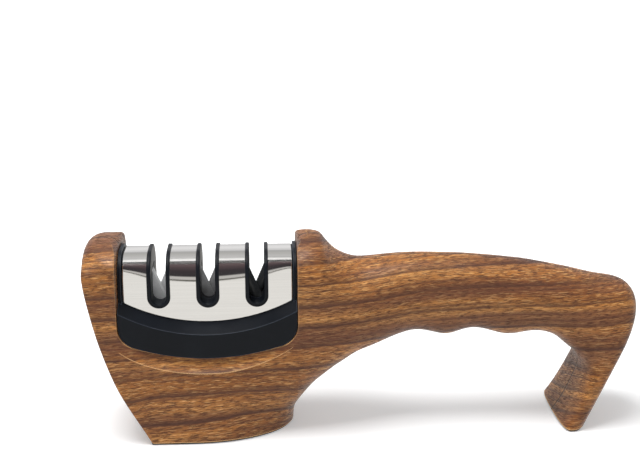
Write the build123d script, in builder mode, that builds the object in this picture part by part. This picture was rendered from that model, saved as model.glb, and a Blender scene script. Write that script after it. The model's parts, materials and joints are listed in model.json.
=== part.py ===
"""Three-stage pull-through knife sharpener with a moulded two-half housing and a lift-out cartridge.

Millimetres, +Z up. The origin is on the table under the middle of the length, on the seam plane.
X runs from the sharpening head (minus) to the heel of the handle (plus). The front faces minus Y.
"""

import os
from math import cos, hypot, radians, sin, sqrt

from build123d import *

os.makedirs("parts", exist_ok=True)

# Overall sizes
length = 216.0
height = 78.4
base_width = 45.4
horn_width = 40.8
grip_width = 25.0
foot_width = 39.5
overrun = 12.0

# Moulded housing
wall = 2.4
horn_height = 77.8
horn_crown_radius = 45.0
horn_corner_radius = 8.5
crown_reach_share = 0.46
nose_length = 38.0
crown_length = 16.0
pin_diameter = 3.0
pin_length = 4.0
pin_boss_diameter = 7.0
running_clearance = 0.1

# Pocket that the cartridge drops into
pocket_centre_share = -0.281
pocket_x = pocket_centre_share * length
pocket_width = 68.0
pocket_floor = 34.4
pocket_floor_radius = 86.0
pocket_corner_radius = 9.0
pocket_wall = 2.2
pocket_clearance = 0.25
scoop_width = 5.2
scoop_depth = 3.4
scoop_tool_radius = 9.0
scoop_half_angle = 18.0
scoop_wall = 2.0

# Feet
pad_thickness = 0.9
pad_inset = 0.8
base_plate_thickness = 2.4
plate_clearance = 0.15
leg_plug_depth = 7.0
leg_plug_floor = 3.0
screw_diameter = 2.6
screw_head_diameter = 5.0
screw_head_height = 1.3
screw_length = 9.0
boss_diameter = 7.0
base_screw_spacing_x = 24.0
base_screw_inset = 3.3
leg_screw_spacing = 18.0

# Cartridge
apron_half_depth = 20.0
apron_ledge_drop = 2.8
core_half_depth = 12.3
core_top = 71.7
core_corner_radius = 8.8
core_wall = 1.8
cartridge_wall = 2.2
shelf_top = 44.0
shelf_thickness = 2.0
rail_thickness = 1.2
steel_thickness = 0.6
steel_gap = 0.1
steel_bottom = 47.0
steel_bottom_radius = 68.0

# Slots and their guides
slot_pitch = 18.6
slot_width = 5.7
slot_bottom = 54.2
guide_wall = 0.75
guide_lip_width = 1.55
guide_lip_proud = 0.9
guide_window_half_depth = 7.0
guide_window_top = 66.0

# Sharpening elements
vee_apex = 58.6
vee_half_angle = 23.0
element_width = 4.6
element_above = 7.2
element_below = 7.0
plate_depth = 4.4
blade_depth = 2.2
rod_diameter = 4.6
element_gap = 0.2
seat_clearance = 0.05
carrier_half_width = 7.2
carrier_half_depth = 6.4
carrier_top = 65.6
cartridge_screw_height = 62.0
cartridge_boss_diameter = 5.0
cartridge_boss_inset = 2.0
cartridge_screw_diameter = 2.2
cartridge_screw_head_diameter = 3.8
cartridge_screw_length = 18.0
cartridge_head_height = 1.2


roof_clear = height + overrun


def section(ends, half_widths, quarter_lengths, fullness):
    """One closed cross-section of the housing, in the plane of its inner point, outer point and Y.

    Each side is a rounded quarter of in_length, a straight stretch and a rounded quarter of
    out_length. The fullness of a quarter sets its two Bezier handles: 0.55 is an ellipse.
    Every argument gives the inner value first.
    """
    in_x, in_z, out_x, out_z = ends
    half_in, half_out = half_widths
    in_length, out_length = quarter_lengths
    full_in, full_out = fullness
    span = hypot(out_x - in_x, out_z - in_z)
    along_x, along_z = (out_x - in_x) / span, (out_z - in_z) / span
    across = (-along_z, 0, along_x)
    plane = Plane(origin=(in_x, 0, in_z), x_dir=(along_x, 0, along_z), z_dir=across)
    out_start = span - out_length
    wide_in = half_in + (half_out - half_in) * in_length / span
    wide_out = half_in + (half_out - half_in) * out_start / span
    keep_in, keep_out = 1 - full_in, 1 - full_out
    with BuildSketch(plane) as outline:
        with BuildLine():
            for side in (-1, 1):
                Bezier(
                    (0, 0),
                    (0, side * wide_in * full_in),
                    (in_length * keep_in, side * wide_in),
                    (in_length, side * wide_in),
                )
                Line((in_length, side * wide_in), (out_start, side * wide_out))
                Bezier(
                    (out_start, side * wide_out),
                    (out_start + out_length * full_out, side * wide_out),
                    (span, side * wide_out * full_out),
                    (span, 0),
                )
        make_face()
    return outline.sketch


foot_share = pad_thickness / height
# Base stations fan up about the nose from the foot plane: inner point, outer point
base_station_shares = (
    (-0.1305, foot_share, -0.545, foot_share),
    (-0.1300, 0.036, -0.575, 0.42),
    (-0.1290, 0.060, -0.590, 1.00),
    (-0.1278, 0.080, -0.400, 1.10),
    (-0.1265, 0.096, -0.240, 1.03),
)
# Grip stations stand upright: place, bottom, top, swell from grip to horn or foot, belly,
# and how far the bottom still has the width of the base
grip_station_shares = (
    (-0.125, 0.108, 0.997, 1.00, 0.574, 1.00),
    (-0.088, 0.230, 0.998, 0.98, 0.546, 0.60),
    (-0.080, 0.249, 0.986, 0.97, 0.530, 0.50),
    (-0.072, 0.268, 0.958, 0.95, 0.515, 0.40),
    (-0.056, 0.305, 0.909, 0.89, 0.505, 0.25),
    (-0.039, 0.337, 0.880, 0.81, 0.500, 0.10),
    (-0.019, 0.374, 0.862, 0.68, 0.500, 0.00),
    (0.009, 0.406, 0.862, 0.49, 0.500, 0.00),
    (0.042, 0.444, 0.872, 0.28, 0.500, 0.00),
    (0.069, 0.472, 0.878, 0.13, 0.500, 0.00),
    (0.093, 0.485, 0.880, 0.05, 0.500, 0.00),
    (0.123, 0.473, 0.879, 0.01, 0.500, 0.00),
    (0.153, 0.460, 0.876, 0.00, 0.500, 0.00),
    (0.181, 0.482, 0.872, 0.00, 0.500, 0.00),
    (0.204, 0.490, 0.866, 0.01, 0.500, 0.00),
    (0.234, 0.472, 0.858, 0.03, 0.500, 0.00),
    (0.264, 0.454, 0.848, 0.07, 0.500, 0.00),
    (0.292, 0.464, 0.837, 0.14, 0.500, 0.00),
    (0.317, 0.472, 0.823, 0.22, 0.500, 0.00),
    (0.343, 0.458, 0.806, 0.32, 0.500, 0.00),
)
# Heel stations turn about the inside corner and run down the leg: inner, outer, swell, belly
heel_station_shares = (
    (0.366, 0.416, 0.389, 0.781, 0.42, 0.48),
    (0.384, 0.374, 0.435, 0.745, 0.52, 0.45),
    (0.396, 0.339, 0.481, 0.716, 0.61, 0.42),
    (0.403, 0.306, 0.4985, 0.657, 0.68, 0.39),
    (0.403, 0.268, 0.4985, 0.561, 0.74, 0.36),
    (0.396, 0.210, 0.481, 0.427, 0.81, 0.33),
    (0.384, 0.128, 0.452, 0.249, 0.89, 0.30),
    (0.372, 0.064, 0.433, 0.128, 0.94, 0.28),
    (0.360, foot_share, 0.415, foot_share, 1.00, 0.26),
)
ellipse_fullness = 0.55
grip_fullness = 0.60
crown_fullness = 0.62
leg_face_fullness = 0.72
straight_share = 0.04
grip_middle_share = 0.153
crown_blend_share = 0.96
# Each loft takes a few stations and ends on the section where the next one starts
station_groups = ((0, 6), (5, 7), (6, 11), (10, 17), (16, 24), (23, 29), (28, 34))


def housing_body(inset):
    """The outer form of both halves together, or the hollow inside it when inset is the wall."""

    def pulled(in_x, in_z, out_x, out_z):
        span = hypot(out_x - in_x, out_z - in_z)
        step_x, step_z = inset * (out_x - in_x) / span, inset * (out_z - in_z) / span
        return in_x + step_x, in_z + step_z, out_x - step_x, out_z - step_z

    def half_width_at(z):
        return (base_width + (horn_width - base_width) * z / height) / 2 - inset

    base, grip, heel = [], [], []
    for in_x, in_z, out_x, out_z in base_station_shares:
        ends = pulled(in_x * length, in_z * height, out_x * length, out_z * height)
        widths = half_width_at(ends[1]), half_width_at(ends[3])
        quarters = nose_length, crown_length
        base.append(section(ends, widths, quarters, (ellipse_fullness, crown_fullness)))
    for x, bottom, top, swell, belly, flare in grip_station_shares:
        ends = pulled(x * length, bottom * height, x * length, top * height)
        full = (horn_width if x < grip_middle_share else foot_width) - grip_width
        half = (grip_width + full * swell) / 2 - inset
        span = ends[3] - ends[1]
        crown = span * (1 - belly - straight_share)
        if swell > crown_blend_share:
            crown = min(crown, crown_length)
        quarters = span * belly, crown
        low_half = half + flare * (half_width_at(ends[1]) - half)
        grip.append(section(ends, (low_half, half), quarters, (grip_fullness, grip_fullness)))
    for in_x, in_z, out_x, out_z, swell, belly in heel_station_shares:
        ends = pulled(in_x * length, in_z * height, out_x * length, out_z * height)
        half = (grip_width + (foot_width - grip_width) * swell) / 2 - inset
        span = hypot(ends[2] - ends[0], ends[3] - ends[1])
        face = grip_fullness + (leg_face_fullness - grip_fullness) * swell
        quarters = span * belly, span * (1 - belly - straight_share)
        heel.append(section(ends, (half, half), quarters, (face, grip_fullness)))
    return base + grip + heel


def loft_body(inset):
    """Lofts the stations group by group into one solid."""
    faces = housing_body(inset)
    for first, last in station_groups:
        loft(faces[first:last])


# Cutters that trim the lofted body: the flat raked end face, the crown of the end horn
end_contour_shares = ((-0.3885, 0.0), (-0.452, 0.340), (-0.483, 0.655))
end_face_share = -0.5
end_foot_slope = -0.45


def end_cutter(inset):
    """Sketch on the XZ plane of all that lies beyond the raked end face and its rounded top."""
    corner = horn_corner_radius - inset
    roof = horn_height - inset
    top_left = (end_face_share * length + inset, roof - corner)
    points = [(x * length + inset, z * height) for x, z in end_contour_shares] + [top_left]
    with BuildSketch(Plane.XZ) as beyond:
        with BuildLine():
            Spline(points, tangents=[(end_foot_slope, 1), (0, 1)])
            RadiusArc(top_left, (top_left[0] + corner, roof), corner)
            Line((top_left[0] + corner, roof), (pocket_x, roof))
            Line((pocket_x, roof), (pocket_x, height + overrun * 2))
            Line((pocket_x, height + overrun * 2), (-length, height + overrun * 2))
            Line((-length, height + overrun * 2), (-length, -overrun))
            Line((-length, -overrun), (points[0][0], -overrun))
            Line((points[0][0], -overrun), points[0])
        make_face()
    return beyond.sketch


def crown_cutter(inset):
    """Sketch on the YZ plane of all that lies above the arched top of the end horn."""
    radius = horn_crown_radius - inset
    roof = horn_height - inset
    reach = radius * crown_reach_share
    drop = radius - sqrt(radius**2 - reach**2)
    with BuildSketch(Plane.YZ.offset(pocket_x)) as above:
        with BuildLine():
            ThreePointArc((-reach, roof - drop), (0, roof), (reach, roof - drop))
            Line((reach, roof - drop), (base_width, roof - drop))
            Line((base_width, roof - drop), (base_width, height + overrun * 2))
            Line((base_width, height + overrun * 2), (-base_width, height + overrun * 2))
            Line((-base_width, height + overrun * 2), (-base_width, roof - drop))
            Line((-base_width, roof - drop), (-reach, roof - drop))
        make_face()
    return above.sketch


def trim_body(inset):
    """Cuts the lofted body to its end face and crown."""
    extrude(end_cutter(inset), amount=base_width, both=True, mode=Mode.SUBTRACT)
    extrude(crown_cutter(inset), amount=-length, mode=Mode.SUBTRACT)


def pocket_outline(grow, roof):
    """Sketch on the XZ plane of the pocket, grown all round by grow and cut level at roof."""
    half = pocket_width / 2 + grow
    floor = pocket_floor - grow
    radius = pocket_floor_radius + grow
    rise = floor + radius - sqrt(radius**2 - half**2)
    with BuildSketch(Plane.XZ) as outline:
        with BuildLine():
            Line((pocket_x - half, roof), (pocket_x - half, rise))
            ThreePointArc((pocket_x - half, rise), (pocket_x, floor), (pocket_x + half, rise))
            Line((pocket_x + half, rise), (pocket_x + half, roof))
            Line((pocket_x + half, roof), (pocket_x - half, roof))
        make_face()
        fillet(outline.vertices().group_by(Axis.Y)[0], radius=pocket_corner_radius + grow)
    return outline.sketch


scoop_face = (base_width + (horn_width - base_width) * pocket_floor / height) / 2
scoop_track = pocket_floor_radius + scoop_width
scoop_track -= sqrt(scoop_tool_radius**2 - (scoop_tool_radius - scoop_depth) ** 2)
scoop_centre_z = pocket_floor + pocket_floor_radius


def scoop_tool(grow):
    """Ball-ended cove below the pocket, front and rear, where a finger goes under the apron."""
    across = scoop_face + scoop_tool_radius - scoop_depth
    axis = Axis((pocket_x, 0, scoop_centre_z), (0, 1, 0))
    with BuildPart() as tool:
        for side in (-1, 1):
            lean = radians(side * scoop_half_angle)
            ball_x = pocket_x + scoop_track * sin(lean)
            ball_z = scoop_centre_z - scoop_track * cos(lean)
            with Locations((ball_x, -across, ball_z)):
                Sphere(scoop_tool_radius + grow)
        lean = radians(scoop_half_angle)
        way, normal = (sin(lean), 0, -cos(lean)), (cos(lean), 0, sin(lean))
        start = Plane(axis.position, x_dir=way, z_dir=normal)
        depth = start.to_local_coords(Vector(pocket_x, -across, 0)).Y
        with BuildSketch(start) as profile:
            with Locations((scoop_track, depth)):
                Circle(scoop_tool_radius + grow)
        revolve(profile.sketch, axis=axis, revolution_arc=2 * scoop_half_angle)
        mirror(about=Plane.XZ)
    return tool.part


scoop_cutter = scoop_tool(0)
scoop_lining = scoop_tool(scoop_wall)

foot_level = pad_thickness
plate_top = foot_level + base_plate_thickness

# Screw places under the base, each boss leaning on the side wall
base_screw_x = [pocket_x + side * base_screw_spacing_x / 2 for side in (-1, 1)]
nose_start = base_station_shares[0][0] * length - nose_length


def base_half_width(x):
    """Half-width of the base footprint at a place along it."""
    past = max(x - nose_start, 0) / nose_length
    return base_width / 2 * sqrt(1 - past**2)


base_screws = []
for x in base_screw_x:
    reach = base_half_width(x) - wall - base_screw_inset
    base_screws += [(x, -reach), (x, reach)]
heel_foot = heel_station_shares[-1]
heel_above = heel_station_shares[-3]
leg_foot_x = (heel_foot[0] + heel_foot[2]) / 2 * length
leg_lean_x = (heel_above[0] + heel_above[2]) / 2 * length - leg_foot_x
leg_lean_z = (heel_above[1] + heel_above[3] - heel_foot[1] - heel_foot[3]) / 2 * height
leg_across, leg_along = (leg_lean_z, 0, -leg_lean_x), (leg_lean_x, 0, leg_lean_z)
leg_plane = Plane((leg_foot_x, 0, foot_level), x_dir=leg_across, z_dir=leg_along)
leg_screws = [(0, side * leg_screw_spacing / 2) for side in (-1, 1)]
pin_place_shares = ((-0.04, 0.60), (0.15, 0.67), (0.37, 0.60))
pin_places = [(x * length, z * height) for x, z in pin_place_shares]

with BuildPart() as outer_form:
    loft_body(0)
    trim_body(0)

with BuildPart() as hollow:
    loft_body(wall)
    trim_body(wall)
    extrude(pocket_outline(pocket_wall, roof_clear), amount=base_width, both=True, mode=Mode.SUBTRACT)
    add(scoop_lining, mode=Mode.SUBTRACT)

with BuildPart() as housing_bosses:
    for place in base_screws:
        with BuildSketch(Plane.XY.offset(plate_top)) as boss:
            with Locations(place):
                Circle(boss_diameter / 2)
        extrude(boss.sketch, amount=screw_length)
    with BuildSketch(leg_plane.offset(leg_plug_depth)) as boss:
        with Locations(*leg_screws):
            Circle(boss_diameter / 2)
    extrude(boss.sketch, amount=screw_length)
    with BuildSketch(Plane.XZ) as boss:
        with Locations(*pin_places):
            Circle(pin_boss_diameter / 2)
    extrude(boss.sketch, amount=base_width / 2, both=True)
    add(outer_form.part, mode=Mode.INTERSECT)

with BuildPart() as housing:
    add(outer_form.part)
    add(hollow.part, mode=Mode.SUBTRACT)
    add(housing_bosses.part)
    extrude(pocket_outline(0, roof_clear), amount=base_width, both=True, mode=Mode.SUBTRACT)
    add(scoop_cutter, mode=Mode.SUBTRACT)
    for place in base_screws:
        with BuildSketch(Plane.XY.offset(plate_top)) as hole:
            with Locations(place):
                Circle(screw_diameter / 2 + seat_clearance)
        extrude(hole.sketch, amount=screw_length - base_plate_thickness, mode=Mode.SUBTRACT)
    with BuildSketch(leg_plane.offset(leg_plug_depth)) as hole:
        with Locations(*leg_screws):
            Circle(screw_diameter / 2 + seat_clearance)
    extrude(hole.sketch, amount=screw_length - leg_plug_floor, mode=Mode.SUBTRACT)

with BuildPart() as front_housing:
    add(housing.part)
    split(bisect_by=Plane.XZ, keep=Keep.TOP)
    with BuildSketch(Plane.XZ) as socket:
        with Locations(*pin_places):
            Circle(pin_diameter / 2 + running_clearance)
    extrude(socket.sketch, amount=pin_length + running_clearance, mode=Mode.SUBTRACT)
front_housing.part.label = "front_housing"
export_step(front_housing.part, "parts/front_housing.step")

with BuildPart() as rear_housing:
    add(housing.part)
    split(bisect_by=Plane.XZ, keep=Keep.BOTTOM)
    with BuildSketch(Plane.XZ) as pin:
        with Locations(*pin_places):
            Circle(pin_diameter / 2)
    extrude(pin.sketch, amount=pin_length)
rear_housing.part.label = "rear_housing"
export_step(rear_housing.part, "parts/rear_housing.step")

base_faces = housing_body(wall + plate_clearance)
with BuildPart() as base_plate:
    loft(base_faces[slice(*station_groups[0])])
    trim_body(wall + plate_clearance)
    with BuildSketch(Plane.XY.offset(foot_level)) as slab:
        Rectangle(length * 2, base_width)
    extrude(slab.sketch, amount=base_plate_thickness, mode=Mode.INTERSECT)
    with Locations(Plane.XY.offset(foot_level)):
        with Locations(*base_screws):
            head_well = screw_head_diameter / 2 + running_clearance
            Cylinder(head_well, 2 * screw_head_height, mode=Mode.SUBTRACT)
            Cylinder(screw_diameter / 2 + running_clearance, overrun, mode=Mode.SUBTRACT)
base_plate.part.label = "base_plate"
export_step(base_plate.part, "parts/base_plate.step")

pad_faces = housing_body(pad_inset)
with BuildPart() as base_pad:
    extrude(pad_faces[0], amount=pad_thickness)
    extrude(end_cutter(pad_inset), amount=base_width, both=True, mode=Mode.SUBTRACT)
base_pad.part.label = "base_pad"
export_step(base_pad.part, "parts/base_pad.step")

with BuildPart() as leg_pad:
    extrude(pad_faces[-1], amount=-pad_thickness)
leg_pad.part.label = "leg_pad"
export_step(leg_pad.part, "parts/leg_pad.step")


def screws(base, spots, head_diameter, head_height, shank_diameter, shank_length):
    """Adds screws whose heads start on the base plane and whose shanks follow its normal."""
    with BuildSketch(base) as heads:
        with Locations(*spots):
            Circle(head_diameter / 2)
    extrude(heads.sketch, amount=head_height)
    with BuildSketch(base.offset(head_height)) as shanks:
        with Locations(*spots):
            Circle(shank_diameter / 2)
    extrude(shanks.sketch, amount=shank_length - head_height)


with BuildPart() as base_plate_screws:
    screws(
        Plane.XY.offset(foot_level),
        base_screws,
        screw_head_diameter,
        screw_head_height,
        screw_diameter,
        screw_length,
    )
base_plate_screws.part.label = "base_plate_screws"
export_step(base_plate_screws.part, "parts/base_plate_screws.step")

with BuildPart() as leg_plug:
    loft(base_faces[slice(*station_groups[-1])])
    with BuildSketch(leg_plane.offset(leg_plug_depth)) as above:
        Rectangle(length, base_width)
    extrude(above.sketch, amount=length, mode=Mode.SUBTRACT)
    with BuildSketch(leg_plane.offset(-overrun)) as wells:
        with Locations(*leg_screws):
            Circle(screw_head_diameter / 2 + running_clearance)
    well_depth = leg_plug_depth - leg_plug_floor + screw_head_height
    extrude(wells.sketch, amount=overrun + well_depth, mode=Mode.SUBTRACT)
    with BuildSketch(leg_plane) as holes:
        with Locations(*leg_screws):
            Circle(screw_diameter / 2 + running_clearance)
    extrude(holes.sketch, amount=overrun, mode=Mode.SUBTRACT)
leg_plug.part.label = "leg_plug"
export_step(leg_plug.part, "parts/leg_plug.step")

with BuildPart() as leg_plug_screws:
    screws(
        leg_plane.offset(leg_plug_depth - leg_plug_floor),
        leg_screws,
        screw_head_diameter,
        screw_head_height,
        screw_diameter,
        screw_length,
    )
leg_plug_screws.part.label = "leg_plug_screws"
export_step(leg_plug_screws.part, "parts/leg_plug_screws.step")


def slot_outline(x, half, bottom):
    """Sketch on the XZ plane of one knife slot: straight sides, a round bottom, open at the top."""
    with BuildSketch(Plane.XZ) as outline:
        with Locations((x, bottom + half)):
            Circle(half)
        with Locations((x, (bottom + half + roof_clear) / 2)):
            Rectangle(2 * half, roof_clear - bottom - half)
    return outline.sketch


def saddle(half, top, corner, start, end, mode=Mode.ADD):
    """Bar along X with an arched end view: two upright sides and a top with round corners."""
    with BuildSketch(Plane.YZ.offset(start)) as profile:
        with Locations((0, top / 2)):
            Rectangle(2 * half, top)
        fillet(profile.vertices().group_by(Axis.Y)[-1], radius=corner)
    extrude(profile.sketch, amount=end - start, mode=mode)


def above_arc(y, low):
    """Sketch at depth y of all that lies above a hollow arc whose lowest point is at height low."""
    reach = pocket_width / 2
    rise = low + steel_bottom_radius - sqrt(steel_bottom_radius**2 - reach**2)
    with BuildSketch(Plane.XZ.offset(y)) as above:
        with BuildLine():
            ThreePointArc((pocket_x - reach, rise), (pocket_x, low), (pocket_x + reach, rise))
            Line((pocket_x + reach, rise), (pocket_x + reach, roof_clear))
            Line((pocket_x + reach, roof_clear), (pocket_x - reach, roof_clear))
            Line((pocket_x - reach, roof_clear), (pocket_x - reach, rise))
        make_face()
    return above.sketch


core_left = pocket_x - pocket_width / 2 + pocket_clearance
core_right = pocket_x + pocket_width / 2 - pocket_clearance
slot_x = [pocket_x + step * slot_pitch for step in (-1, 0, 1)]
stage_names = ("coarse", "medium", "fine")
steel_half_depth = core_half_depth + steel_gap + steel_thickness
steel_top = core_top + steel_gap + steel_thickness
steel_corner_radius = core_corner_radius + steel_gap + steel_thickness
lip_seat = steel_half_depth + seat_clearance
lip_half_depth = steel_half_depth + guide_lip_proud
lip_top = steel_top + guide_lip_proud
lip_corner_radius = steel_corner_radius + guide_lip_proud
channel_half = slot_width / 2 + guide_wall
lip_half = slot_width / 2 + guide_lip_width
boss_reach = pocket_width / 2 - pocket_clearance - cartridge_wall - cartridge_boss_inset
cartridge_screw_places = [
    (pocket_x - boss_reach, cartridge_screw_height),
    (pocket_x + boss_reach, cartridge_screw_height),
]

with BuildPart() as arched_core:
    saddle(core_half_depth, core_top, core_corner_radius, core_left - overrun, core_right + overrun)
    with Locations((pocket_x, 0, cartridge_screw_height / 2)):
        Box(pocket_width + overrun, base_width, cartridge_screw_height)


def cut_slots():
    """Cuts the three slots through a cartridge piece, with room for the slot guides."""
    for x in slot_x:
        cut = slot_outline(x, channel_half + running_clearance, slot_bottom - guide_wall - running_clearance)
        extrude(cut, amount=base_width, both=True, mode=Mode.SUBTRACT)


ledge_bottom = steel_bottom - apron_ledge_drop
with BuildPart() as over_ledge:
    loft([above_arc(core_half_depth, steel_bottom), above_arc(apron_half_depth, ledge_bottom)], ruled=True)
    mirror(about=Plane.XZ)

with BuildPart() as over_shelf:
    saddle(
        core_half_depth - core_wall,
        core_top - core_wall,
        core_corner_radius - core_wall,
        core_left + cartridge_wall,
        core_right - cartridge_wall,
    )
    split(bisect_by=Plane.XY.offset(shelf_top), keep=Keep.TOP)

with BuildPart() as under_shelf:
    below = pocket_outline(-pocket_clearance - cartridge_wall, core_top)
    extrude(below, amount=apron_half_depth - cartridge_wall, both=True)
    split(bisect_by=Plane.XY.offset(shelf_top - shelf_thickness), keep=Keep.BOTTOM)

with BuildPart() as rails:
    saddle(lip_half_depth, lip_top, lip_corner_radius, core_left, core_left + rail_thickness)
    saddle(lip_half_depth, lip_top, lip_corner_radius, core_right - rail_thickness, core_right)
    split(bisect_by=Plane.XY.offset(shelf_top), keep=Keep.TOP)
    outline = pocket_outline(-pocket_clearance, roof_clear)
    extrude(outline, amount=base_width, both=True, mode=Mode.INTERSECT)

with BuildPart() as cartridge_body:
    extrude(pocket_outline(-pocket_clearance, core_top), amount=apron_half_depth, both=True)
    add(over_ledge.part, mode=Mode.SUBTRACT)
    add(arched_core.part, mode=Mode.INTERSECT)
    add(over_shelf.part, mode=Mode.SUBTRACT)
    add(under_shelf.part, mode=Mode.SUBTRACT)
    with BuildSketch(Plane.XZ) as boss:
        with Locations(*cartridge_screw_places):
            Circle(cartridge_boss_diameter / 2)
    extrude(boss.sketch, amount=core_half_depth - core_wall / 2, both=True)
    cut_slots()
    add(rails.part)

with BuildPart() as cartridge_front_shell:
    add(cartridge_body.part)
    split(bisect_by=Plane.XZ, keep=Keep.TOP)
    with BuildSketch(Plane.XZ) as holes:
        with Locations(*cartridge_screw_places):
            Circle(cartridge_screw_diameter / 2 + seat_clearance)
    extrude(holes.sketch, amount=cartridge_screw_length - core_half_depth, mode=Mode.SUBTRACT)
cartridge_front_shell.part.label = "cartridge_front_shell"
export_step(cartridge_front_shell.part, "parts/cartridge_front_shell.step")

with BuildPart() as cartridge_rear_shell:
    add(cartridge_body.part)
    split(bisect_by=Plane.XZ, keep=Keep.BOTTOM)
    with BuildSketch(Plane.XZ) as holes:
        with Locations(*cartridge_screw_places):
            Circle(cartridge_screw_diameter / 2 + running_clearance)
    extrude(holes.sketch, amount=-base_width, mode=Mode.SUBTRACT)
    with BuildSketch(Plane.XZ.offset(-core_half_depth + cartridge_head_height)) as wells:
        with Locations(*cartridge_screw_places):
            Circle(cartridge_screw_head_diameter / 2 + running_clearance)
    extrude(wells.sketch, amount=-base_width, mode=Mode.SUBTRACT)
cartridge_rear_shell.part.label = "cartridge_rear_shell"
export_step(cartridge_rear_shell.part, "parts/cartridge_rear_shell.step")

with BuildPart() as cartridge_screws:
    screws(
        Plane.XZ.offset(-core_half_depth),
        cartridge_screw_places,
        cartridge_screw_head_diameter,
        cartridge_head_height,
        cartridge_screw_diameter,
        cartridge_screw_length,
    )
cartridge_screws.part.label = "cartridge_screws"
export_step(cartridge_screws.part, "parts/cartridge_screws.step")

with BuildPart() as steel_cover:
    cover_left = core_left + rail_thickness + seat_clearance
    cover_right = core_right - rail_thickness - seat_clearance
    saddle(steel_half_depth, steel_top, steel_corner_radius, cover_left, cover_right)
    saddle(
        steel_half_depth - steel_thickness,
        steel_top - steel_thickness,
        steel_corner_radius - steel_thickness,
        cover_left,
        cover_right,
        mode=Mode.SUBTRACT,
    )
    kept = above_arc(0, steel_bottom + seat_clearance)
    extrude(kept, amount=base_width, both=True, mode=Mode.INTERSECT)
    cut_slots()
steel_cover.part.label = "steel_cover"
export_step(steel_cover.part, "parts/steel_cover.step")

for x, stage in zip(slot_x, stage_names):
    with BuildPart() as slot_guide:
        extrude(slot_outline(x, lip_half, slot_bottom - guide_lip_width), amount=base_width, both=True)
        saddle(lip_half_depth, lip_top, lip_corner_radius, x - lip_half, x + lip_half, mode=Mode.INTERSECT)
        inner_corner = lip_corner_radius - lip_half_depth + lip_seat
        inner_top = lip_top - lip_half_depth + lip_seat
        saddle(lip_seat, inner_top, inner_corner, x - lip_half, x + lip_half, mode=Mode.SUBTRACT)
        extrude(slot_outline(x, channel_half, slot_bottom - guide_wall), amount=lip_seat, both=True)
        saddle(lip_half_depth, lip_top, lip_corner_radius, x - lip_half, x + lip_half, mode=Mode.INTERSECT)
        cut = slot_outline(x, slot_width / 2, slot_bottom)
        extrude(cut, amount=base_width, both=True, mode=Mode.SUBTRACT)
        with Locations((x, 0, guide_window_top / 2)):
            Box(2 * lip_half, 2 * guide_window_half_depth, guide_window_top, mode=Mode.SUBTRACT)
    name = f"{stage}_slot_guide"
    slot_guide.part.label = name
    export_step(slot_guide.part, f"parts/{name}.step")


def vee_frame(x, side):
    """Along and away from the cutting edge that leans out to one side (-1 left, 1 right) of slot x."""
    lean = radians(vee_half_angle)
    along = Vector(side * sin(lean), 0, cos(lean))
    away = Vector(side * cos(lean), 0, -sin(lean))
    return Vector(x, 0, vee_apex), along, away


def element_bar(x, side, depth, grow):
    """Flat bar whose inner edge is one side of the vee. The left bar lies in front of the right."""
    apex, along, away = vee_frame(x, side)
    corners = [
        apex + along * (element_above + grow) - away * grow,
        apex - along * (element_below + grow) - away * grow,
        apex - along * (element_below + grow) + away * (element_width + grow),
        apex + along * (element_above + grow) + away * (element_width + grow),
    ]
    near = element_gap / 2 - grow
    with BuildSketch(Plane.XZ.offset(-side * near)) as face:
        Polygon(*[(corner.X, corner.Z) for corner in corners], align=None)
    extrude(face.sketch, amount=-side * (depth + 2 * grow))


def element_rod(x, side, grow):
    """Round rod whose side is one flank of the vee."""
    apex, along, away = vee_frame(x, side)
    middle = apex + away * (rod_diameter / 2) + along * ((element_above - element_below) / 2)
    middle += Vector(0, side * (rod_diameter + element_gap) / 2, 0)
    with Locations(Plane(middle, z_dir=along)):
        Cylinder(rod_diameter / 2 + grow, element_above + element_below + 2 * grow)


def element(stage, x, side, grow):
    """One sharpening element of a stage, or its seat when grow is a clearance."""
    if stage == "coarse":
        element_bar(x, side, plate_depth, grow)
    elif stage == "medium":
        element_bar(x, side, blade_depth, grow)
    else:
        element_rod(x, side, grow)


element_names = {"coarse": "coarse_plate", "medium": "carbide_blade", "fine": "ceramic_rod"}
for x, stage in zip(slot_x, stage_names):
    for side, hand in ((-1, "left"), (1, "right")):
        with BuildPart() as piece:
            element(stage, x, side, 0)
        name = f"{element_names[stage]}_{hand}"
        piece.part.label = name
        export_step(piece.part, f"parts/{name}.step")
    with BuildPart() as seats:
        for side in (-1, 1):
            element(stage, x, side, seat_clearance)
    with BuildPart() as carrier:
        with Locations((x, 0, (shelf_top + carrier_top) / 2)):
            Box(2 * carrier_half_width, 2 * carrier_half_depth, carrier_top - shelf_top)
        cut = slot_outline(x, slot_width / 2, slot_bottom - guide_wall)
        extrude(cut, amount=base_width, both=True, mode=Mode.SUBTRACT)
        add(seats.part, mode=Mode.SUBTRACT)
    name = f"{stage}_carrier"
    carrier.part.label = name
    export_step(carrier.part, f"parts/{name}.step")
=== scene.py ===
# %% [markdown]
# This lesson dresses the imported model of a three-stage pull-through knife sharpener. The CAD
# frame fixes every size and place. Each cell below makes one finish or one piece and says
# what it measured. Lengths are written in millimetres and turned into metres by `MM`.

# %% Load the frame
import json
import math

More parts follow.
